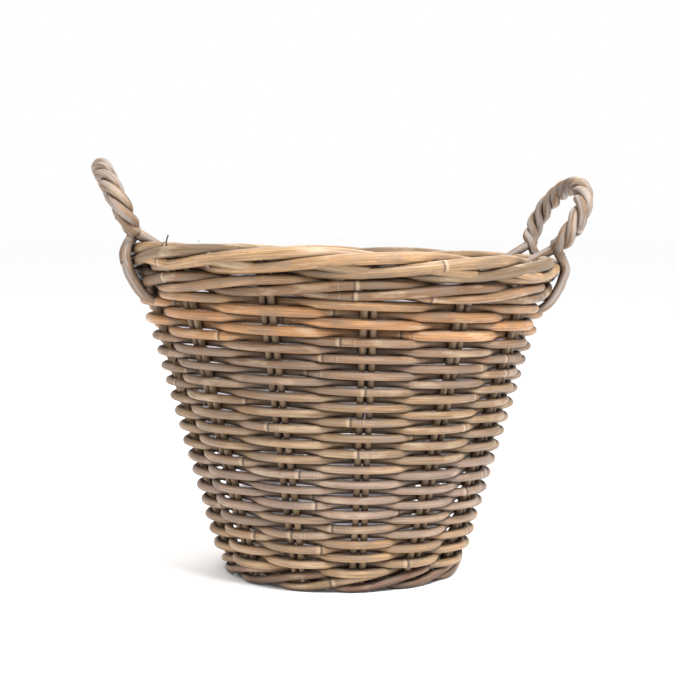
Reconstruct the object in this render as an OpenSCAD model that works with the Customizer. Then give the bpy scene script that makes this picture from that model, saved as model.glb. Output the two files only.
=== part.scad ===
// Round tapered log basket of woven rattan: upright stakes in pairs, side rods woven in front of
// one pair and behind the next, a three-rod wale at the foot, a three-rod wale and a four-rod
// wale as the border, two twisted handles, a domed woven base on crossed sticks, and a film liner.
// Millimetres, +Z up, origin on the floor under the middle. The handles are on the X axis.

/* [Wall] */
// Radius of the stake circle where it meets the floor
wall_r = 114; // [112:1:118]
// Outward lean of the wall, in degrees
wall_lean = 16.4; // [16:0.1:17]
// Diameter of one stake
stake_d = 7; // [6.4:0.1:7]
// Distance between the axes of the two stakes of a pair
stake_pitch = 8.8; // [8.4:0.1:9.2]
// Height of the cut top of the stakes
stake_top = 326; // [320:1:328]

/* [Side weave] */
// Diameter of a side rod
weaver_d = 7.2; // [6.8:0.1:7.2]
// Height between one side rod and the next
row_pitch = 7.56; // [7.5:0.01:7.6]
// Diameter of the thick side rods of the top rounds
top_weaver_d = 8.6; // [8:0.1:8.6]
// Height between one thick side rod and the next
top_row_pitch = 8.85; // [8.8:0.01:8.9]

/* [Border] */
// Diameter of the rods of the three-rod wale under the border
top_wale_d = 9.4; // [9:0.1:9.4]
// Diameter of the rods of the four-rod border
border_d = 10.4; // [10:0.1:10.4]

/* [Foot and base] */
// Diameter of the rods of the wale round the foot
foot_wale_d = 8; // [7.6:0.1:8]
// Diameter of a base stick
stick_d = 7; // [6.4:0.1:7]
// How far the middle of the base stands above its edge
dome = 9; // [7:1:9]

/* [Handles] */
// Width of a handle between the axes of its twisted rope at its widest
handle_w = 156; // [150:1:160]
// Outward lean of a handle, in degrees
handle_lean = 27; // [24:1:30]
// Diameter of one handle rod
handle_rod_d = 8.3; // [7.6:0.1:8.3]
// Length of one full twist of the handle rods
handle_twist = 64; // [60:1:70]

/* [Liner] */
// Thickness of the liner's wall
liner_t = 0.8; // [0.6:0.1:1]

/* [Hidden] */
pairs = 13;
pair_angle = 360 / pairs;
rounds = 35;
thin_rounds = 30;
base_rods = 8;
joint_proud = 0.1;    // how far a joint of the cane stands proud of the rod's surface
joint_gap = 0.3;      // how far a stretch of rod stops short of the middle of a joint
joint_cover = 0.4;    // how far a joint covers the stretches that end in it
side_joint_half = 1.5; // half the length of a joint on a side rod
end_gap = 2;          // how far a rod's cut end stops short of the seam at the back
clearance = 0.15;     // room between a rod and the stake that it passes
worn = 0.4;           // how much of the foot rods is worn flat where they stand
round_fn = 24;
function two_digits(n) = str(n < 10 ? "0" : "", n);
side_nodes = ceil(rounds / 2);
base_nodes = base_rods / 2;

// ---- Shared geometry ----

function stake_r(z) = wall_r + z * tan(wall_lean);
// Radial distance from the stake circle to the axis of a rod of diameter d that touches a stake
function beside_stake(d) = (stake_d + d) / 2 / cos(wall_lean) + clearance;
// Polar point on a circle, where a counts from the front pair of stakes
function polar(r, a, z = 0) = [r * sin(a), -r * cos(a), z];
function unit(v) = v / norm(v);
function along(a, b, d) = a + d * unit(b - a);
function ease(x) = x * (1.5 - 0.5 * x * x);
function flip(list) = [for (i = [len(list) - 1:-1:0]) list[i]];

module aim(at, v) {
    translate(at)
        rotate([0, acos(v.z / norm(v)), atan2(v.y, v.x)])
            children();
}

// One straight stretch of round rod
module stretch(a, b, d1, d2) {
    aim(a, b - a) cylinder(h = norm(b - a), d1 = d1, d2 = d2, $fn = round_fn);
}

// An open rod along a list of points, with a joint of the cane at each bend that is long and thick
// enough for its two flat faces to take the whole rod; it can taper at its ends
module rod(points, d, end_d = 0) {
    last = len(points) - 2;
    for (i = [0:last]) {
        a = i == 0 ? points[i] : along(points[i], points[i + 1], joint_gap);
        b = i == last ? points[i + 1] : along(points[i + 1], points[i], joint_gap);
        stretch(a, b, i == 0 && end_d > 0 ? end_d : d, i == last && end_d > 0 ? end_d : d);
    }
    for (i = [1:last]) {
        ahead = unit(points[i + 1] - points[i]);
        behind = unit(points[i] - points[i - 1]);
        bend = norm(ahead - behind) / 2; // the sine of half the bend
        half = joint_gap + joint_cover + bend * d / 2;
        r = (d / 2 + bend * half) / sqrt(1 - bend * bend) + joint_proud;
        aim(points[i], ahead + behind)
            cylinder(h = 2 * half, r = r, center = true, $fn = round_fn);
    }
}

// ---- Stakes ----

module stake_pair(i) {
    bottom_z = 3;
    tip_len = 9;
    color("tan")
        rotate([0, 0, (i - 1) * pair_angle - 90])
            for (side = [-1, 1])
                translate([stake_r(bottom_z), side * stake_pitch / 2, bottom_z])
                    rotate([0, wall_lean, 0]) {
                        translate([0, 0, tip_len])
                            cylinder(h = (stake_top - bottom_z) / cos(wall_lean) - tip_len,
                                d = stake_d, $fn = round_fn);
                        cylinder(h = tip_len, d1 = stake_d * 0.35, d2 = stake_d, $fn = round_fn);
                    }
}

// ---- Side rounds: each rod goes in front of one pair of stakes and behind the next ----

foot_wale_rise = 4.9;
foot_wale_z = foot_wale_rise + foot_wale_d / 2 - worn;
first_row_z = foot_wale_z + 0.866 * foot_wale_rise + (foot_wale_d + weaver_d) / 2 + 0.4;
thin_top_z = first_row_z + (thin_rounds - 1) * row_pitch;
first_thick_z = thin_top_z + (weaver_d + top_weaver_d) / 2 + 0.2;
function row_z(n) =
    n < thin_rounds ? first_row_z + n * row_pitch : first_thick_z + (n - thin_rounds) * top_row_pitch;
function row_d(n) = n < thin_rounds ? weaver_d : top_weaver_d;

// An arc of rod about [x, 0], as part of a rod that lies level
module level_arc(x, r, from, to, d) {
    trim = side_joint_half / r * 180 / PI;
    translate([x, 0, 0])
        rotate([0, 0, from + trim])
            rotate_extrude(angle = to - from - 2 * trim, $fn = round_fn * 3)
                translate([r, 0]) circle(d = d, $fn = round_fn);
}

// A level rod of arcs that meet halfway between the pairs, open at the seam at the back
module side_rod(n) {
    z = row_z(n);
    d = row_d(n);
    mid = stake_r(z);
    outer = mid + beside_stake(d) + 0.2;
    inner = mid - beside_stake(d) - 0.2;
    half = pair_angle / 2;
    meet = [mid * cos(half), mid * sin(half)];
    bend_r = (pow(meet.y, 2) + pow(outer - meet.x, 2)) / (2 * (outer - meet.x));
    bow_r = (pow(meet.y, 2) + pow(meet.x - inner, 2)) / (2 * (meet.x - inner));
    half_bend = asin(meet.y / bend_r);
    half_bow = asin(meet.y / bow_r);
    translate([0, 0, z])
        for (m = [0:pairs - 1])
            rotate([0, 0, (m - (pairs - 1) / 2) * pair_angle - 90]) {
                outside = (m + n) % 2 == 0;
                if (outside) level_arc(outer - bend_r, bend_r, -half_bend, half_bend, d);
                else level_arc(inner + bow_r, bow_r, 180 - half_bow, 180 + half_bow, d);
                if (m < pairs - 1)
                    rotate([0, 0, half])
                        translate([mid, 0, 0])
                            rotate([90, 0, (outside ? 1 : -1) * (half_bend - half)])
                                cylinder(h = 2 * side_joint_half, d = d + 2 * joint_proud, center = true,
                                    $fn = round_fn);
            }
}

module side_round(i) {
    color(i > thin_rounds / 2 ? "peru" : "burlywood") {
        side_rod(2 * i - 2);
        if (2 * i <= rounds) side_rod(2 * i - 1);
    }
}

// ---- Wales: rods that twist round the stakes; they start and end at the seam at the back ----

steps = 4; // points from one pair of stakes to the next
function at_pair(s) = s / steps - 0.5;
function at_angle(s) = 180 + s / steps * pair_angle;

// A rod's points round the basket, with its two cut ends just short of the seam
function trimmed(points) =
    let (n = len(points))
    [
        for (i = [0:n - 1])
            i == 0 ? along(points[0], points[1], end_gap)
                : i == n - 1 ? along(points[n - 1], points[n - 2], end_gap)
                : points[i]
    ];

// Three-rod wale: in front of two pairs, rising, then down behind one
function wale3_point(s, start, z, rise, d) =
    let (
        u = (at_pair(s) - start) / 3,
        from_back = abs(u - round(u)) * 3,
        share = from_back < 1 ? (1 + cos(180 * from_back)) / 2 : 0,
        at_z = z - rise * sin(360 * u),
        r = stake_r(at_z) + beside_stake(d) + 0.4 - (2 * beside_stake(d) + 0.4) * share
    ) polar(r, at_angle(s), at_z);

module wale3_rod(start, z, rise, d) {
    rod(trimmed([for (s = [0:pairs * steps]) wale3_point(s, start, z, rise, d)]), d);
}

// Four-rod border: in front of two pairs, over the top, and behind two
function wale4_point(s, start, z, rise, d) =
    let (
        turn = 45 + 90 * (at_pair(s) - start),
        t = turn - 360 * floor((turn + 90) / 360),
        out = abs(t) < 45 ? ease(t / 45) : abs(t - 180) < 45 ? -ease((t - 180) / 45) : t < 180 ? 1 : -1,
        at_z = z - rise * cos(turn)
    ) polar(stake_r(at_z) + out * (beside_stake(d) + 0.4), at_angle(s), at_z);

top_row_z = row_z(rounds - 1);
top_wale_rise = 5.6;
top_wale_z = top_row_z + (top_weaver_d + top_wale_d) / 2 + 0.866 * top_wale_rise + 0.1;
border_rise = 7.6;
border_z = top_wale_z + 0.866 * top_wale_rise + (top_wale_d + border_d) / 2 + border_rise + 0.1;
border_top = border_z + border_rise + border_d / 2;

module foot_wale(i) {
    color("sienna")
        difference() {
            wale3_rod(i, foot_wale_z, foot_wale_rise, foot_wale_d);
            translate([-150, -150, -20]) cube([300, 300, 20]);
        }
}

module top_wale(i) {
    color("tan") wale3_rod(i, top_wale_z, top_wale_rise, top_wale_d);
}

module border_rod(i) {
    color("burlywood")
        rod(trimmed([
            for (s = [0:pairs * steps]) wale4_point(s, i, border_z, border_rise, border_d)
        ]), border_d);
}

// ---- Base: its sticks' thin ends lie on the foot wale, under the lowest side rod ----

stick_tip_d = 4;
edge_z = (foot_wale_z + foot_wale_d / 2 + first_row_z - weaver_d / 2) / 2;
edge_r = stake_r(edge_z) - stake_d / 2 / cos(wall_lean) - 0.6;
open_r = 44;
cross = stick_d + 1.6;
first_base_r = 54;
base_pitch = 5.8;
function base_z(r) = edge_z + dome * (1 - pow(r / edge_r, 2));
function base_rod_d(j) = 4.6 + 0.06 * j;
function base_rod_r(j) = first_base_r + base_pitch * j;
function spoke(r, k) = polar(r, k * pair_angle, base_z(r));

// A stick across the base from spoke middle + place; level is 1 for the upper layer of the cross
module base_stick(middle, place, level) {
    facing = (middle + 3) * pair_angle;
    near = middle + place;
    far = middle + 6 - place;
    over_cross = [
        for (side = [-1, 1])
            polar(cross * 1.6, facing + side * 90, base_z(cross) + level * (stick_d / 2 + 0.1))
                + polar(place * cross, facing)
    ];
    rod([
        spoke(edge_r, near), spoke(95, near), spoke(open_r, near), over_cross[0],
        over_cross[1], spoke(open_r, far), spoke(95, far), spoke(edge_r, far)
    ], stick_d, stick_tip_d);
}

module base_sticks(level) {
    color("tan")
        for (place = [-1:1]) base_stick(level < 0 ? 2 : 5, place, level);
}

// The odd stick that gives the base its odd number of spokes
module base_half_stick() {
    color("tan")
        rod([spoke(edge_r, 0), spoke(95, 0), spoke(open_r, 0)], stick_d, stick_tip_d);
}

// A base rod over one stick and under the next
module base_rod(j) {
    r = base_rod_r(j);
    d = base_rod_d(j);
    reach = (stick_d + d) / 2;
    slope = atan(PI * reach / (r * pair_angle * PI / 180) * 0.8);
    swing = reach / cos(slope * 0.5) + clearance + 0.4;
    rod(trimmed([
        for (s = [0:pairs * steps])
            polar(r, at_angle(s), base_z(r) + swing * cos(180 * (at_pair(s) + j)))
    ]), d);
}

module base_round(i) {
    color("burlywood") {
        base_rod(2 * i - 2);
        base_rod(2 * i - 1);
    }
}

// The two fine rods that bind the cross, each over two of its arms and under the other two
module base_tie() {
    tie_d = 4;
    n = 24;
    color("burlywood")
        for (j = [0, 1]) {
            r = 29 + j * 5;
            side = j == 0 ? -1 : 1;
            swing = 8.2;
            rod([
                for (s = [0:n])
                    let (a = (s + 0.5) * 352 / n, over = 1.8 * sin(2 * a))
                    polar(r, a, base_z(r) + side * swing * max(-1, min(1, over)))
            ], tie_d);
        }
}

// ---- Handles ----

handle_rope_r = handle_rod_d / sqrt(3) + 0.5; // radius of the circle that the rods twist on
handle_half_h = 43;
handle_mid = 32;     // how far up its lean the widest place is
handle_foot_z = border_top + handle_rope_r + handle_rod_d / 2 + 0.4;
handle_foot_r = stake_r(border_z) + 5;
handle_start = asin(-handle_mid / handle_half_h);
handle_leg_y = handle_w / 2 * cos(handle_start);
arch_points = 32;

// The middle of the rope at an angle round the arch, and the two directions across it
function arch(a) =
    let (up = handle_mid + handle_half_h * sin(a))
    [handle_foot_r + up * sin(handle_lean), -handle_w / 2 * cos(a), handle_foot_z + up * cos(handle_lean)];
function arch_out(a) =
    let (n = unit([cos(a) * handle_half_h, sin(a) * handle_w / 2]))
    [n.y * sin(handle_lean), -n.x, n.y * cos(handle_lean)];
across = [cos(handle_lean), 0, -sin(handle_lean)];
arch_step = (180 - 2 * handle_start) / arch_points;
arch_len = [
    for (i = 0, s = 0; i <= arch_points;
        s = s + norm(arch(handle_start + (i + 1) * arch_step) - arch(handle_start + i * arch_step)), i = i + 1) s
];

// A rod's place in the twist, i steps along the arch
function in_twist(i, k) =
    let (a = handle_start + i * arch_step, t = 360 * (arch_len[i] / handle_twist) + k * 120 + 30)
    arch(a) + handle_rope_r * (cos(t) * across + sin(t) * arch_out(a));

// A rod's tail down one face of the border: face is 1 outside and -1 inside, side is -1 or 1 along Y
function tail(face, side, spread) =
    let (y = side * (handle_leg_y - 1) + spread, half = handle_rod_d / 2)
    [
        for (p = [
            [border_z + 4, beside_stake(border_d) + border_d / 2 + 1.6],
            [border_z - 8, beside_stake(border_d) + border_d / 2 + 1.2],
            [top_wale_z, beside_stake(top_wale_d) + top_wale_d / 2 + 1.6],
            [top_row_z - 3, top_weaver_d / 2 + 5],
            [top_row_z - 22, top_weaver_d / 2 + 3.5]
        ])
            let (r = stake_r(p[0]) + face * (p[1] + half)) [sqrt(r * r - y * y), y, p[0]]
    ];

// Where each of the three rods goes at its two ends: the face, and how far along the rim
starts = [[1, -4.6], [-1, 0], [1, 4.6]];
ends = [[1, 4.6], [1, -4.6], [-1, 0]];

module handle_rod(i, side) {
    points = concat(
        flip(tail(starts[i - 1][0], -1, starts[i - 1][1])),
        [for (s = [1:arch_points - 1]) in_twist(s, i)],
        tail(ends[i - 1][0], 1, ends[i - 1][1])
    );
    color("darkkhaki")
        rotate([0, 0, side == "left" ? 180 : 0])
            rod(points, handle_rod_d);
}

// ---- Liner ----

liner_floor_z = base_z(0) + stick_d + 3.8;
liner_top_z = top_wale_z;
function liner_r(z) = stake_r(z) - beside_stake(top_weaver_d) - top_weaver_d / 2 - 1;

module liner() {
    color([0.9, 0.9, 0.92, 0.5])
        rotate_extrude($fn = 96)
            polygon([
                [0, liner_floor_z], [liner_r(liner_floor_z), liner_floor_z],
                [liner_r(liner_top_z), liner_top_z], [liner_r(liner_top_z) - liner_t, liner_top_z],
                [liner_r(liner_floor_z) - liner_t, liner_floor_z + liner_t], [0, liner_floor_z + liner_t]
            ]);
}

// ---- Nodes ----

liner();
base_sticks(-1);  // base_sticks_lower
base_sticks(1);  // base_sticks_upper
base_half_stick();
base_tie();
for (i = [1:base_nodes])
    base_round(i);
for (i = [1:3])
    foot_wale(i);
for (i = [1:pairs])
    stake_pair(i);
for (i = [1:side_nodes])
    side_round(i);
for (i = [1:3])
    top_wale(i);
for (i = [1:4])
    border_rod(i);
for (side = ["left", "right"], i = [1:3])
    handle_rod(i, side);
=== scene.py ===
import math
import random

import bpy
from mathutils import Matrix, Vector, noise


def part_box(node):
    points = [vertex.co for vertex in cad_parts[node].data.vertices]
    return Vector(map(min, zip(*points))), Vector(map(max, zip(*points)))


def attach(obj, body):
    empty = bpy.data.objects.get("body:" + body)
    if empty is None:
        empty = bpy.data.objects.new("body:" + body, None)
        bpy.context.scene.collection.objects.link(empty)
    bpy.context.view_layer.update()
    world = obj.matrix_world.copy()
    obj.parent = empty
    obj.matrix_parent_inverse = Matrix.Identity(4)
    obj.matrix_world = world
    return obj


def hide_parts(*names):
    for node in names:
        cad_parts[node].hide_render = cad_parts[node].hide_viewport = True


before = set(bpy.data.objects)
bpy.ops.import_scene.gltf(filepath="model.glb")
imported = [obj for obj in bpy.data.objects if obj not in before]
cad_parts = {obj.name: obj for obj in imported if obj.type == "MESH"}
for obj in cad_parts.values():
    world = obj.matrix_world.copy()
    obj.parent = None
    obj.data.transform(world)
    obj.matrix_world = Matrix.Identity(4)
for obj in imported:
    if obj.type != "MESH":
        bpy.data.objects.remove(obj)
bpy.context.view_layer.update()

# ---- Camera ----
# A person stands about a metre and a half away and looks slightly down on the basket,
# a little to the left of its front pair of stakes.
view_turn = math.radians(-7.2)
view_distance = 1.56
view_height = 0.352
looked_at = Vector((-0.004, 0, 0.24))
eye = bpy.data.cameras.new("eye")
eye.lens = 80
eye.sensor_width = 36
camera = bpy.data.objects.new("camera", eye)
bpy.context.scene.collection.objects.link(camera)
camera.location = (view_distance * math.sin(view_turn), -view_distance * math.cos(view_turn), view_height)
camera.rotation_euler = (looked_at - camera.location).to_track_quat("-Z", "Y").to_euler()
bpy.context.scene.camera = camera

# ---- Base sticks ----
# Peeled rattan sticks laid across each other in two layers, three one way and three the other,
# with one half stick for the odd spoke. Their thin ends lie on the foot wale under the first row.
pairs = 13
stake_thick = 0.007
wall_foot_radius = 0.114
wall_lean = math.tan(math.radians(16.4))
rim_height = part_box("border_rod_1")[1][2]


def wall_radius(z):
    return wall_foot_radius + z * wall_lean


def round_place(radius, pair, z):
    """A place on the round, with pair counted from the front pair towards the right."""
    a = 2 * math.pi * pair / pairs
    return Vector((radius * math.sin(a), -radius * math.cos(a), z))


def settle(p):
    """The basket has settled in use: it stands taller on the left, and its round is not quite true."""
    share = max(0.0, p.z / rim_height)
    a = math.atan2(p.x, -p.y)
    out = 1 + (0.006 * math.sin(2 * a + 0.6) + 0.004 * math.sin(3 * a + 2.0)) * share
    lift = (-0.034 * p.x + 0.0016 * math.sin(2 * a + 2.4)) * min(share, 1.0)
    return Vector((p.x * out, p.y * out, p.z + lift))


def mix(a, b, share):
    return [x + (y - x) * share for x, y in zip(a, b)]


def soft(points, step=0.003):
    """A smooth line through a few places, with a point every step."""
    ends = [points[0] * 2 - points[1], *points, points[-1] * 2 - points[-2]]
    line = []
    for i in range(1, len(ends) - 2):
        a, b, c, d = ends[i - 1:i + 3]
        n = max(2, round((c - b).length / step))
        for k in range(n):
            t = k / n
            line.append(0.5 * (2 * b + (c - a) * t + (2 * a - 5 * b + 4 * c - d) * t * t
                               + (3 * b - a - 3 * c + d) * t * t * t))
    return [*line, points[-1]]


def cane_mesh(mesh_parts, path, thick, tones, seed, ends=(0.0, 0.0), thin=(1.0, 1.0), thin_length=0.03):
    """Adds one round cane along a path: slightly oval, with its joints, its colour along its
    length, and two cut ends. ends are the slants of the cuts; thin is how slim each end becomes."""
    rng = random.Random(seed)
    sides = 12
    length = [0.0]
    for a, b in zip(path, path[1:]):
        length.append(length[-1] + (b - a).length)
    total = length[-1]
    joints = []
    at = rng.uniform(0.03, 0.2)
    while at < total:
        joints.append((at, rng.uniform(0.7, 1.3)))
        at += rng.uniform(0.17, 0.42)
    verts, faces, smooth, grain, colour, marks = mesh_parts
    start = len(verts)
    normal = Vector((0.31, 0.2, 0.93))
    phase = rng.uniform(0, 6.28)
    drift = rng.uniform(0, 90)
    last = len(path) - 1
    rings = [(0, 0.86), *[(i, 1.0) for i in range(last + 1)], (last, 0.86)]
    bevel = 0.0007
    joint_reach = 0.012
    for k, (i, scale) in enumerate(rings):
        here = path[i]
        tangent = (path[min(i + 1, last)] - path[max(i - 1, 0)]).normalized()
        normal = (normal - tangent * normal.dot(tangent)).normalized()
        across = tangent.cross(normal)
        s = length[i]
        if k == 0:
            here = here - tangent * bevel
        if k == len(rings) - 1:
            here = here + tangent * bevel
        ring = 0.0
        from_joint = 1.0
        for at, strength in joints:
            d = s - at
            if abs(d) < joint_reach:
                ring += strength * 0.07 * math.exp(-(d / 0.003) ** 2)
                ring -= strength * 0.04 * math.exp(-((d - 0.006) / 0.004) ** 2)
                from_joint = d / joint_reach
        slim = 1.0
        if thin[0] < 1:
            slim *= thin[0] + (1 - thin[0]) * min(1.0, s / thin_length)
        if thin[1] < 1:
            slim *= thin[1] + (1 - thin[1]) * min(1.0, (total - s) / thin_length)
        swell = 1 + 0.035 * noise.noise(Vector((s * 9, drift, 0)))
        radius = thick / 2 * swell * (1 + ring) * slim * scale
        tone = noise.noise(Vector((s * 6, drift, 5))) * 0.5 + noise.noise(Vector((s * 25, drift, 9))) * 0.3
        shade = mix(tones[0], tones[1], min(1.0, max(0.0, 0.5 + tone)))
        end = 1.0 if k in (0, len(rings) - 1) else 0.0
        slant = ends[0] if k <= 1 else ends[1] if k >= len(rings) - 2 else 0.0
        for j in range(sides):
            a = 2 * math.pi * j / sides
            oval = 1 + 0.045 * math.cos(2 * (a - phase - s * 6))
            offset = (normal * math.cos(a) + across * math.sin(a)) * radius * oval
            verts.append(here + offset + tangent * (math.cos(a) * radius * slant))
            grain.append((math.cos(a) * thick / 2, math.sin(a) * thick / 2, s + drift))
            colour.append((*shade, 1.0))
            marks.append((from_joint, end, 0.0))
    n = len(rings)
    for k in range(n - 1):
        for j in range(sides):
            a = start + k * sides + j
            b = start + k * sides + (j + 1) % sides
            faces.append((a, b, b + sides, a + sides))
            smooth.append(0 < k < n - 2)
    faces.append([start + j for j in range(sides)][::-1])
    faces.append([start + (n - 1) * sides + j for j in range(sides)])
    smooth += [False, False]


def new_parts():
    return [], [], [], [], [], []


def cane_piece(name, mesh_parts, finish, nodes):
    """Makes one piece of its canes and puts it in the place of its node."""
    verts, faces, smooth, grain, colour, marks = mesh_parts
    mesh = bpy.data.meshes.new(name)
    mesh.from_pydata(verts, [], faces)
    mesh.polygons.foreach_set("use_smooth", smooth)
    for which, kind, field, rows in (("grain", "FLOAT_VECTOR", "vector", grain),
                                     ("tone", "FLOAT_COLOR", "color", colour),
                                     ("marks", "FLOAT_VECTOR", "vector", marks)):
        values = [x for row in rows for x in row]
        mesh.attributes.new(which, kind, "POINT").data.foreach_set(field, values)
    mesh.materials.append(finish)
    piece = bpy.data.objects.new(name, mesh)
    bpy.context.scene.collection.objects.link(piece)
    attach(piece, "root")
    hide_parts(*nodes)
    return piece


def cane_finish(name, roughness, wash=0.0, wash_colour=(0.6, 0.57, 0.53), speck=1.0, crevice_shade_strength=0.95):
    """Peeled rattan: fine fibres along the cane, weathered patches, dark specks, splits, a dark
    line at each joint, a pale porous cut end, and a greyish wash where it was limed. Painted shade darkens
    the colour in the crevices, where other canes come close."""
    material = bpy.data.materials.new(name)
    material.use_nodes = True
    nodes = material.node_tree.nodes
    links = material.node_tree.links
    shader = nodes["Principled BSDF"]

    def attribute(which):
        node = nodes.new("ShaderNodeAttribute")
        node.attribute_name = which
        return node

    def stretched(source, along):
        node = nodes.new("ShaderNodeVectorMath")
        node.operation = "MULTIPLY"
        node.inputs[1].default_value = (1, 1, along)
        links.new(source, node.inputs[0])
        return node.outputs[0]

    def cloud(vector, scale, detail=3.0):
        node = nodes.new("ShaderNodeTexNoise")
        node.inputs["Scale"].default_value = scale
        node.inputs["Detail"].default_value = detail
        links.new(vector, node.inputs["Vector"])
        return node.outputs["Fac"]

    def between(value, low, high, out_low=0.0, out_high=1.0):
        node = nodes.new("ShaderNodeMapRange")
        node.inputs["From Min"].default_value = low
        node.inputs["From Max"].default_value = high
        node.inputs["To Min"].default_value = out_low
        node.inputs["To Max"].default_value = out_high
        links.new(value, node.inputs["Value"])
        return node.outputs["Result"]

    def blend(share, a, b, way="MIX"):
        node = nodes.new("ShaderNodeMix")
        node.data_type = "RGBA"
        node.blend_type = way
        if isinstance(share, float):
            node.inputs["Factor"].default_value = share
        else:
            links.new(share, node.inputs["Factor"])
        for value, socket in ((a, node.inputs[6]), (b, node.inputs[7])):
            if isinstance(value, tuple):
                socket.default_value = (*value, 1)
            else:
                links.new(value, socket)
        return node.outputs[2]

    def product(a, b):
        node = nodes.new("ShaderNodeMath")
        node.operation = "MULTIPLY"
        links.new(a, node.inputs[0])
        if isinstance(b, float):
            node.inputs[1].default_value = b
        else:
            links.new(b, node.inputs[1])
        return node.outputs[0]

    grain = attribute("grain").outputs["Vector"]
    tone = attribute("tone").outputs["Color"]
    marks = nodes.new("ShaderNodeSeparateXYZ")
    links.new(attribute("marks").outputs["Vector"], marks.inputs[0])
    fibre = cloud(stretched(grain, 0.025), 850, 5.0)
    patch = cloud(stretched(grain, 0.35), 90, 3.0)
    fleck = cloud(stretched(grain, 0.18), 700, 2.0)
    split = cloud(stretched(grain, 0.006), 520, 1.0)
    colour = blend(between(fibre, 0.32, 0.68), (0.56, 0.50, 0.44), (1.2, 1.2, 1.2))
    colour = blend(1.0, tone, colour, "MULTIPLY")
    colour = blend(between(patch, 0.5, 0.7, 0.0, 0.6), colour, (0.15, 0.115, 0.085))
    colour = blend(between(patch, 0.46, 0.3, 0.0, 0.4), colour, (0.55, 0.43, 0.29))
    if wash:
        limed = between(cloud(stretched(grain, 0.08), 330, 4.0), 0.44, 0.56, 0.0, wash)
        colour = blend(limed, colour, wash_colour)
    colour = blend(between(fleck, 0.66, 0.74, 0.0, 0.7 * speck), colour, (0.09, 0.065, 0.045))
    crack = between(split, 0.5, 0.512, 1.0, 0.0)
    crack_low = between(split, 0.488, 0.5, 0.0, 1.0)
    line = product(product(crack, crack_low), 0.55)
    colour = blend(line, colour, (0.10, 0.07, 0.05))
    apart = nodes.new("ShaderNodeMath")
    apart.operation = "ABSOLUTE"
    links.new(marks.outputs["X"], apart.inputs[0])
    past_joint = marks.outputs["X"]
    pale = product(between(past_joint, 0.07, 0.16), between(past_joint, 0.28, 0.45, 1.0, 0.0))
    colour = blend(product(pale, 0.38), colour, (0.56, 0.43, 0.29))
    colour = blend(between(apart.outputs[0], 0.05, 0.13, 0.8, 0.0), colour, (0.06, 0.04, 0.028))
    pores = nodes.new("ShaderNodeTexVoronoi")
    pores.inputs["Scale"].default_value = 2600
    links.new(stretched(grain, 1.0), pores.inputs["Vector"])
    pith = blend(between(pores.outputs["Distance"], 0.1, 0.45), (0.10, 0.07, 0.045), (0.40, 0.30, 0.19))
    colour = blend(marks.outputs["Y"], colour, pith)
    # Painted shade: the colour is darkened where other canes come close, in the crevices between them.
    shelter = nodes.new("ShaderNodeAmbientOcclusion")
    shelter.samples = 6
    shelter.inputs["Distance"].default_value = 0.014
    painted_crevice_shade = between(shelter.outputs["AO"], 0.2, 0.88, crevice_shade_strength, 0.0)
    colour = blend(painted_crevice_shade, colour, blend(1.0, colour, (0.13, 0.095, 0.07), "MULTIPLY"))
    links.new(colour, shader.inputs["Base Color"])
    links.new(between(patch, 0.3, 0.7, roughness - 0.07, roughness + 0.12), shader.inputs["Roughness"])
    shader.inputs["IOR"].default_value = 1.48
    shader.inputs["Specular IOR Level"].default_value = 0.42
    bump = nodes.new("ShaderNodeBump")
    bump.inputs["Strength"].default_value = 0.5
    bump.inputs["Distance"].default_value = 0.00025
    links.new(blend(line, blend(0.3, fibre, patch), (0.0, 0.0, 0.0)), bump.inputs["Height"])
    links.new(bump.outputs["Normal"], shader.inputs["Normal"])
    return material


def toned(colour, rng, light=0.10, warm=0.05):
    """A light and a dark tone of one cane, a little different from its neighbours'."""
    value = 1 + rng.uniform(-light, light)
    shift = rng.uniform(-warm, warm)
    own = [colour[0] * value * (1 + shift), colour[1] * value, colour[2] * value * (1 - shift)]
    return [x * 0.74 for x in own], [x * 1.22 for x in own]


stick_thick = 0.007
stick_tip = 0.57
base_edge_height = 0.0148
base_dome = 0.009
spoke_end = 0.1143
along_spoke = (spoke_end, 0.095, 0.07, 0.044)
stick_spacing = 0.008
layer_lift = 0.0036
base_colour = (0.34, 0.23, 0.13)
plain_cane = cane_finish("plain_cane", 0.55)


def base_height(radius):
    return base_edge_height + base_dome * (1 - (radius / spoke_end) ** 2)


def spoke_place(radius, pair):
    return round_place(radius, pair, base_height(radius))


for layer, middle in ((-1, 2), (1, 5)):
    parts = new_parts()
    for place in (-1, 0, 1):
        z = base_height(0) + layer * layer_lift
        over = [round_place(stick_spacing * 1.6, middle + 3 + side * pairs / 4, z)
                + round_place(place * stick_spacing, middle + 3, 0) for side in (-1, 1)]
        near = middle + place
        far = middle + 6 - place
        stops = [spoke_place(r, near) for r in along_spoke]
        stops += over
        stops += [spoke_place(r, far) for r in reversed(along_spoke)]
        rng = random.Random(40 + middle * 3 + place)
        cane_mesh(parts, soft([settle(p) for p in stops]), stick_thick, toned(base_colour, rng), 100 + near,
                  thin=(stick_tip, stick_tip), thin_length=0.02)
    which = "lower" if layer < 0 else "upper"
    cane_piece("sticks_" + which, parts, plain_cane, ["base_sticks_" + which])

parts = new_parts()
stops = [spoke_place(r, 0) for r in along_spoke]
cane_mesh(parts, soft([settle(p) for p in stops]), stick_thick, toned(base_colour, random.Random(7)), 99,
          thin=(stick_tip, 1.0), thin_length=0.02)
cane_piece("half_stick", parts, plain_cane, ["base_half_stick"])

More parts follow.
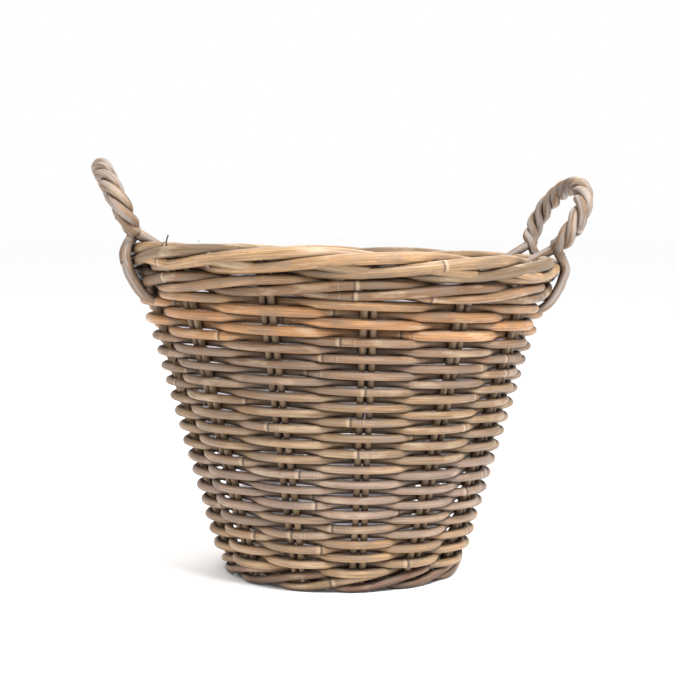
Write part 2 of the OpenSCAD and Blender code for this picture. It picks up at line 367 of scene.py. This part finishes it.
# ---- Base rods ----
# Fine rods bind the cross, each over two of its arms and under the other two; then thicker rods
# are woven over one spoke and under the next, out to the foot.
tie_thick = 0.0042
tie_swing = 0.0078
tie_steps = 199
parts = new_parts()
for j, side in ((0, -1), (1, 1)):
    path = []
    radius = 0.029 + 0.005 * j
    for k in range(tie_steps + 1):
        a = 0.12 + k / tie_steps * 6.1
        over = max(-1.0, min(1.0, 1.8 * math.sin(2 * a)))
        z = base_height(radius) + side * tie_swing * over
        path.append(settle(round_place(radius, a / (2 * math.pi) * pairs, z)))
    cane_mesh(parts, path, tie_thick, toned(base_colour, random.Random(60 + j)), 70 + j)
cane_piece("cross_tie", parts, plain_cane, ["base_tie"])

base_rounds = 4
first_base_radius = 0.054
base_round_step = 0.0058
seam = -pairs / 2
for i in range(base_rounds):
    parts = new_parts()
    for j in (2 * i, 2 * i + 1):
        radius = first_base_radius + base_round_step * j
        thick = 0.0053 + 0.00006 * j
        swing = (stick_thick + thick) / 2 * 1.04
        path = []
        for k in range(pairs * 16):
            pair = seam + k / 16
            z = base_height(radius) + swing * math.cos(math.pi * (pair + 6 + j))
            path.append(settle(round_place(radius, pair, z)))
        cane_mesh(parts, path, thick, toned(base_colour, random.Random(80 + j)), 200 + j)
    cane_piece("base_rods_%d" % (i + 1), parts, plain_cane, ["base_round_%d" % (i + 1)])

# ---- Foot wale ----
# Three stout reddish rods twist round the stakes at the bottom, each in front of two pairs and
# behind the third, and dip in scallops where they pass. Their worn undersides carry the basket.
foot_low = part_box("foot_wale_1")[0][2]
foot_thick = 0.0084
foot_rise = 0.0068
foot_height = foot_low + foot_rise + foot_thick / 2 - 0.0002
foot_colours = ((0.31, 0.205, 0.115), (0.19, 0.105, 0.065), (0.21, 0.13, 0.08))
foot_cane = cane_finish("foot_cane", 0.5)


def three_rod_wale(start, pair, height, rise, thick, drawn_in=0.0, late=0.0):
    """Where a rod of a three-rod wale is: out in front of two pairs, then down behind one."""
    u = (pair + 6 - start) / 3
    from_back = abs(u - round(u)) * 3
    share = (1 + math.cos(math.pi * from_back)) / 2 if from_back < 1 else 0.0
    z = height - rise * math.sin(2 * math.pi * u - late)
    reach = (stake_thick + thick) / 2 / math.cos(math.atan(wall_lean)) + 0.0004
    return round_place(wall_radius(z) + reach - 2 * reach * share - drawn_in, pair, z)


for i in (1, 2, 3):
    parts = new_parts()
    rng = random.Random(300 + i)
    path = []
    for k in range(pairs * 22):
        pair = seam + k / 22
        place = three_rod_wale(i, pair, foot_height, foot_rise, foot_thick, drawn_in=0.004, late=0.3)
        path.append(settle(place))
    cane_mesh(parts, path, foot_thick, toned(foot_colours[i - 1], rng, 0.12), 310 + i)
    parts[0][:] = [Vector((v.x, v.y, max(v.z, foot_low))) for v in parts[0]]
    cane_piece("foot_rod_%d" % i, parts, foot_cane, ["foot_wale_%d" % i])

# ---- Stakes ----
# Thirteen pairs of straight stakes carry the whole wall. Their lower tips are cut to a slant and
# show under the last row; their tops end between the border's rods.
stake_low = 0.0045
stake_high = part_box("stake_pair_07")[1][2]
stake_gap = 0.0088
stake_low_colour = (0.42, 0.29, 0.165)
stake_high_colour = (0.24, 0.155, 0.095)
stake_cane = cane_finish("stake_cane", 0.6, crevice_shade_strength=0.75)
for i in range(pairs):
    parts = new_parts()
    pair = i - 6
    sideways = round_place(1, pair + pairs / 4, 0)
    for side in (-1, 1):
        rng = random.Random(400 + 2 * i + side)
        path = []
        low = stake_low + rng.uniform(0, 0.005)
        wander = rng.uniform(0, 50)
        for k in range(101):
            z = low + (stake_high - low) * k / 100
            place = round_place(wall_radius(z), pair, z)
            drift = 0.0012 * noise.noise(Vector((z * 12, wander, 0)))
            path.append(settle(place + sideways * (side * stake_gap / 2 + drift)))
        cane_mesh(parts, path, stake_thick * rng.uniform(0.95, 1.08), (stake_high_colour, stake_low_colour),
                  410 + 2 * i + side, ends=(1.1, 0.0), thin=(0.6, 1.0), thin_length=0.008)
    cane_piece("stakes_%02d" % (i + 1), parts, stake_cane, ["stake_pair_%02d" % (i + 1)])

# ---- Side rods ----
# One rod follows another in a climbing spiral, in front of one pair of stakes and behind the next.
# The top five rounds are of thicker, more orange cane; a pinkish grey band lies lower down.
rounds = 35
thin_rounds = 30
thin_thick = 0.0084
heavy_thick = 0.0097
cad_thin = 0.0074
cad_heavy = 0.0088
rows = []
for i in range(1, (rounds + 1) // 2 + 1):
    low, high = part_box("side_round_%02d" % i)
    cad_thick = cad_thin if 2 * i <= thin_rounds else cad_heavy
    rows += [low[2] + cad_thick / 2, high[2] - cad_thick / 2]
rows = rows[:rounds]
# Each pair is a row, counted from the foot, and the colour of the cane there.
side_colours = [
    (0, (0.39, 0.245, 0.125)), (5, (0.33, 0.205, 0.105)), (8, (0.29, 0.20, 0.148)),
    (12, (0.28, 0.192, 0.145)), (16, (0.31, 0.19, 0.095)), (22, (0.27, 0.165, 0.08)),
    (27, (0.20, 0.12, 0.068)), (29, (0.27, 0.145, 0.068)), (31, (0.42, 0.205, 0.08)),
    (34, (0.32, 0.18, 0.085)),
]
side_cane = cane_finish("side_cane", 0.5, wash=0.3, wash_colour=(0.28, 0.215, 0.175))
heavy_cane = cane_finish("heavy_cane", 0.46)


def row_height(row):
    row = max(-0.35, min(len(rows) - 0.65, row))
    i = max(0, min(len(rows) - 2, int(row)))
    return rows[i] + (rows[i + 1] - rows[i]) * (row - i)


def side_colour(row):
    for (a, first), (b, second) in zip(side_colours, side_colours[1:]):
        if row <= b:
            return mix(first, second, max(0.0, (row - a) / (b - a)))
    return side_colours[-1][1]


def side_place(passed, thick, wander):
    """Where the weaver is after it has passed so many pairs, going round and up."""
    row = passed / pairs - 0.5
    z = row_height(row) + 0.0011 * noise.noise(Vector((passed * 0.45, wander, 3)))
    pair = 6.5 - passed % pairs
    out = math.cos(math.pi * (passed - 0.5))
    out = math.copysign(abs(out) ** 0.9, out)
    reach = (stake_thick + thick) / 2 / math.cos(math.atan(wall_lean)) + 0.0002
    reach += 0.0006 * noise.noise(Vector((passed * 0.3, wander, 8)))
    return round_place(wall_radius(z) + out * reach, pair, z)


cuts = [0.0]
for i in range(1, (rounds + 1) // 2):
    cuts.append(2 * pairs * i - 0.5 + 2 * ((i * 5) % pairs - 6))
cuts.append(float(rounds * pairs))
for i in range(len(cuts) - 1):
    parts = new_parts()
    rng = random.Random(500 + i)
    heavy = 2 * i >= thin_rounds
    thick = (heavy_thick if heavy else thin_thick) * rng.uniform(0.96, 1.04)
    wander = rng.uniform(0, 90)
    count = int((cuts[i + 1] - cuts[i]) * 18)
    path = []
    for k in range(count):
        passed = cuts[i] + (cuts[i + 1] - cuts[i]) * k / count
        path.append(settle(side_place(passed, thick, wander)))
    tones = toned(side_colour(2 * i + 0.5), rng, 0.09, 0.04)
    cane_mesh(parts, path, thick, tones, 520 + i)
    cane_piece("side_rod_%02d" % (i + 1), parts, heavy_cane if heavy else side_cane,
               ["side_round_%02d" % (i + 1)])

# ---- Film liner ----
# A loose clear plastic film is pushed down inside the wall and stands in crumpled folds, so it
# shows milky between the rods; its edge is tucked under the border and peeps out in places.
liner_low, liner_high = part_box("liner")
film_floor = liner_low[2] + 0.0008
film_top = liner_high[2] + 0.010
film_columns = 260
film_rows = 84
floor_rows = 22
# Each place where its edge peeps out: the angle from the front, how far up, and how far out.
peeps = ((0.76, 0.026, 0.017), (-0.76, 0.002, 0.031), (-0.42, 0.030, 0.012), (-0.86, 0.028, 0.013))


def film_place(column, row):
    a = 2 * math.pi * column / film_columns
    if a > math.pi:
        a -= 2 * math.pi
    if row < floor_rows:
        z = film_floor
        radius = (wall_radius(film_floor) - 0.0155) * row / floor_rows
        x, y = radius * math.sin(a), -radius * math.cos(a)
        crumple = noise.turbulence(Vector((x * 26, y * 26, 4)), 3, False)
        return Vector((x, y, z + 0.006 * crumple * min(1, radius / 0.02)))
    up = (row - floor_rows) / (film_rows - floor_rows)
    edge = 0.012 * noise.noise(Vector((math.cos(a) * 6, math.sin(a) * 6, 1)))
    z = film_floor + (film_top + edge - film_floor) * up
    x, y = math.cos(a) * 7.5, math.sin(a) * 7.5
    fold = noise.turbulence(Vector((x, y, z * 22)), 3, True) * 0.010
    fold += abs(noise.noise(Vector((x * 2.6, y * 2.6, z * 60)))) * 0.004
    radius = wall_radius(z) - 0.0150 - fold * min(1.0, 4 * up + 0.15)
    for at, rise, out in peeps:
        near = math.exp(-((a - at) / 0.07) ** 2) * max(0.0, (up - 0.9) / 0.1)
        z += rise * near
        radius += out * near
    return Vector((radius * math.sin(a), -radius * math.cos(a), z))


def film_finish(name):
    """Clear milky film, almost unseen where it clings flat; its colour is darker in the dents of its
    wrinkles and paler on their crests, painted shade and painted highlight over its own lilac-white tint.
    """
    material = bpy.data.materials.new(name)
    material.use_nodes = True
    nodes = material.node_tree.nodes
    links = material.node_tree.links
    shader = nodes["Principled BSDF"]
    shader.inputs["Roughness"].default_value = 0.16
    shader.inputs["IOR"].default_value = 1.5
    where = nodes.new("ShaderNodeTexCoord")
    wrinkle = nodes.new("ShaderNodeTexNoise")
    wrinkle.inputs["Scale"].default_value = 45
    wrinkle.inputs["Detail"].default_value = 5
    dent = nodes.new("ShaderNodeBump")
    dent.inputs["Strength"].default_value = 0.7
    dent.inputs["Distance"].default_value = 0.004
    # Painted shade and highlight: the colour runs from dark lilac-grey in the wrinkle dents to pale
    # lilac-white on their crests.
    film_tint_and_crumple_shade = nodes.new("ShaderNodeValToRGB")
    film_tint_and_crumple_shade.color_ramp.elements[0].color = (0.42, 0.40, 0.46, 1)
    film_tint_and_crumple_shade.color_ramp.elements[1].color = (0.86, 0.85, 0.90, 1)
    cling = nodes.new("ShaderNodeTexNoise")
    cling.inputs["Scale"].default_value = 16
    clear = nodes.new("ShaderNodeMapRange")
    clear.inputs["From Min"].default_value = 0.42
    clear.inputs["From Max"].default_value = 0.6
    clear.inputs["To Min"].default_value = 0.1
    clear.inputs["To Max"].default_value = 0.75
    links.new(where.outputs["Object"], wrinkle.inputs["Vector"])
    links.new(wrinkle.outputs["Fac"], dent.inputs["Height"])
    links.new(wrinkle.outputs["Fac"], film_tint_and_crumple_shade.inputs["Fac"])
    links.new(film_tint_and_crumple_shade.outputs["Color"], shader.inputs["Base Color"])
    links.new(dent.outputs["Normal"], shader.inputs["Normal"])
    links.new(where.outputs["Object"], cling.inputs["Vector"])
    links.new(cling.outputs["Fac"], clear.inputs["Value"])
    links.new(clear.outputs["Result"], shader.inputs["Alpha"])
    return material


film_verts = [settle(film_place(c, r)) for r in range(1, film_rows + 1) for c in range(film_columns)]
film_faces = []
for r in range(film_rows - 1):
    for c in range(film_columns):
        a = r * film_columns + c
        b = r * film_columns + (c + 1) % film_columns
        film_faces.append((a, b, b + film_columns, a + film_columns))
film_faces.append(list(range(film_columns))[::-1])
mesh = bpy.data.meshes.new("film_liner")
mesh.from_pydata(film_verts, [], film_faces)
mesh.polygons.foreach_set("use_smooth", [True] * len(film_faces))
film = bpy.data.objects.new("film_liner", mesh)
bpy.context.scene.collection.objects.link(film)
mesh.materials.append(film_finish("clear_film"))
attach(film, "root")
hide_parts("liner")

# ---- Lower border ----
# A three-rod wale of stout cane closes the wall above the last row. Each round is of two canes
# whose cut ends lie beside the handles.
wale_low, wale_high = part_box("top_wale_1")
wale_thick = 0.0102
wale_height = (wale_low[2] + wale_high[2]) / 2
wale_rise = 0.0058
lower_border_colour = (0.245, 0.138, 0.068)
border_cane = cane_finish("border_cane", 0.44)
right_handle_pair = 3.25
left_handle_pair = -3.25


def border_canes(parts, place, thick, colour, seed, tuck):
    """Lays a round of the border as two canes, with their ends crossing beside the handles."""
    spans = ((left_handle_pair - tuck, right_handle_pair + tuck),
             (right_handle_pair + tuck * 0.4, left_handle_pair + pairs - tuck * 0.4))
    for n, (start, stop) in enumerate(spans):
        count = int((stop - start) * 30)
        rng = random.Random(seed + n)
        wander = rng.uniform(0, 90)
        path = []
        for k in range(count + 1):
            pair = start + (stop - start) * k / count
            p = place(pair)
            p.z += 0.0011 * noise.noise(Vector((pair * 0.5, wander, 1)))
            path.append(settle(p))
        own_thick = thick * rng.uniform(0.95, 1.05)
        cane_mesh(parts, path, own_thick, toned(colour, rng, 0.32, 0.09), seed + 10 * n, ends=(0.15, -0.2))


for i in (1, 2, 3):
    parts = new_parts()
    border_canes(parts, lambda pair: three_rod_wale(i, pair, wale_height, wale_rise, wale_thick),
                 wale_thick, lower_border_colour, 700 + i, 0.3 + 0.12 * i)
    cane_piece("lower_border_rod_%d" % i, parts, border_cane, ["top_wale_%d" % i])

# ---- Rim ----
# Four stout canes twist along the top like a rope: in front of two pairs of stakes, over the
# rim, and behind two.
rim_low, rim_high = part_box("border_rod_2")
rim_thick = 0.0114
rim_middle = (rim_low[2] + rim_high[2]) / 2
rim_rise = 0.0084
rim_colour = (0.28, 0.18, 0.094)


def four_rod_wale(start, pair):
    turn = 45 + 90 * (pair + 6 - start)
    t = turn - 360 * math.floor((turn + 90) / 360)

    def ease(x):
        return x * (1.5 - 0.5 * x * x)

    if abs(t) < 45:
        out = ease(t / 45)
    elif abs(t - 180) < 45:
        out = -ease((t - 180) / 45)
    else:
        out = 1 if t < 180 else -1
    z = rim_middle - rim_rise * math.cos(math.radians(turn))
    reach = (stake_thick + rim_thick) / 2 / math.cos(math.atan(wall_lean)) + 0.0003
    return round_place(wall_radius(z) + out * reach, pair, z)


twig_colour = (0.05, 0.04, 0.035)
for i in (1, 2, 3, 4):
    parts = new_parts()
    border_canes(parts, lambda pair: four_rod_wale(i, pair), rim_thick, rim_colour, 730 + i, 0.2 + 0.1 * i)
    if i == 1:
        # A dark twig end stands up from the left of the rim.
        twig = [settle(round_place(wall_radius(rim_height) + lean, -2.15, rim_height - 0.006 + up))
                for lean, up in ((0.0, 0.0), (0.001, 0.007), (-0.001, 0.0135))]
        cane_mesh(parts, soft(twig, 0.001), 0.0014, (twig_colour, twig_colour), 799)
    cane_piece("rim_rod_%d" % i, parts, border_cane, ["border_rod_%d" % i])

# ---- Handles ----
# Each handle is three limed canes twisted into a rope. At its feet they part: two go down outside
# the border and one inside, and their ends are pushed into the weave under the lower border.
handle_thick = 0.0096
rope_radius = 0.0054
loop_half_width = 0.078
loop_half_height = 0.043
loop_middle = 0.032
loop_lean = math.radians(27)
twist_length = 0.064
loop_foot_height = rim_height + rope_radius + handle_thick / 2 - 0.002
loop_foot_radius = wall_radius(rim_middle) + 0.005
handle_colour = (0.235, 0.15, 0.09)
handle_cane = cane_finish("limed_cane", 0.62, wash=0.8, wash_colour=(0.29, 0.25, 0.228), speck=0.6)
loop_start = math.asin(-loop_middle / loop_half_height)
leg_place = loop_half_width * math.cos(loop_start)


def loop_place(a):
    up = loop_middle + loop_half_height * math.sin(a)
    return Vector((loop_foot_radius + up * math.sin(loop_lean), -loop_half_width * math.cos(a),
                   loop_foot_height + up * math.cos(loop_lean)))


def loop_out(a):
    n = Vector((math.cos(a) * loop_half_height, math.sin(a) * loop_half_width)).normalized()
    return Vector((n.y * math.sin(loop_lean), -n.x, n.y * math.cos(loop_lean)))


def tail_stops(face, side, spread):
    """Where a cane goes down one face of the border, to its end in the weave."""
    y = side * leg_place + spread
    stops = []
    for z, gap in ((rim_middle + 0.004, 0.0155), (rim_middle - 0.010, 0.0170),
                   (wale_height + 0.002, 0.0160), (wale_height - 0.013, 0.0105),
                   (rows[-1] - 0.0065, 0.0015), (rows[-1] - 0.009, -0.012)):
        radius = wall_radius(z) + face * (gap + handle_thick / 2)
        stops.append(Vector((math.sqrt(radius ** 2 - y * y), y, z)))
    return stops


across = Vector((math.cos(loop_lean), 0, -math.sin(loop_lean)))
feet = ((1, -0.005), (-1, 0.0), (1, 0.005))
far_feet = ((1, 0.005), (1, -0.005), (-1, 0.0))
count = 60
for side_name, turned in (("left", math.pi), ("right", 0.0)):
    for i in (1, 2, 3):
        stops = tail_stops(feet[i - 1][0], -1, feet[i - 1][1])[::-1]
        run = 0.0
        before = loop_place(loop_start)
        for k in range(1, count):
            a = loop_start + (math.pi - 2 * loop_start) * k / count
            here = loop_place(a)
            run += (here - before).length
            before = here
            t = 2 * math.pi * run / twist_length + i * 2 * math.pi / 3 + 0.5
            held = min(1.0, 0.55 + min(k, count - k) / 16)
            stops.append(here + rope_radius * held * (math.cos(t) * across + math.sin(t) * loop_out(a)))
        stops += tail_stops(far_feet[i - 1][0], 1, far_feet[i - 1][1])
        path = []
        for p in soft(stops):
            if turned:
                p = Vector((-p.x, -p.y, p.z))
            path.append(settle(p))
        parts = new_parts()
        rng = random.Random(800 + i + int(turned))
        cane_mesh(parts, path, handle_thick, toned(handle_colour, rng, 0.1), 820 + i + int(turned) * 10,
                  thin=(0.7, 0.7), thin_length=0.03)
        cane_piece("handle_%s_cane_%d" % (side_name, i), parts, handle_cane,
                   ["handle_%s_rod_%d" % (side_name, i)])

# ---- Floor and light ----
# A plain white sweep under soft studio light from above, with the strongest light from the right.
wide = 60
corners = [(-wide, -wide, 0), (wide, -wide, 0), (wide, wide, 0), (-wide, wide, 0)]
mesh = bpy.data.meshes.new("floor")
mesh.from_pydata(corners, [], [(0, 1, 2, 3)])
floor = bpy.data.objects.new("floor", mesh)
bpy.context.scene.collection.objects.link(floor)
floor_finish = bpy.data.materials.new("white_floor")
floor_finish.use_nodes = True
floor_shader = floor_finish.node_tree.nodes["Principled BSDF"]
floor_shader.inputs["Base Color"].default_value = (0.98, 0.98, 0.98, 1)
floor_shader.inputs["Roughness"].default_value = 0.9
mesh.materials.append(floor_finish)

world = bpy.data.worlds.new("studio")
world.use_nodes = True
sky = world.node_tree.nodes["Background"]
sky.inputs["Color"].default_value = (1, 1, 1, 1)
sky.inputs["Strength"].default_value = 1.0
bpy.context.scene.world = world
bpy.context.scene.view_settings.view_transform = "Standard"
for name, place, size, power in (
    ("main_light", (0.7, -1.2, 2.0), 1.0, 75),
    ("side_light", (-1.7, -0.9, 1.2), 1.2, 8),
    ("back_light", (0.3, 1.6, 1.8), 1.4, 20),
):
    lamp = bpy.data.lights.new(name, "AREA")
    lamp.size = size
    lamp.energy = power
    light = bpy.data.objects.new(name, lamp)
    light.location = place
    light.rotation_euler = (Vector((0, 0, 0.2)) - light.location).to_track_quat("-Z", "Y").to_euler()
    bpy.context.scene.collection.objects.link(light)
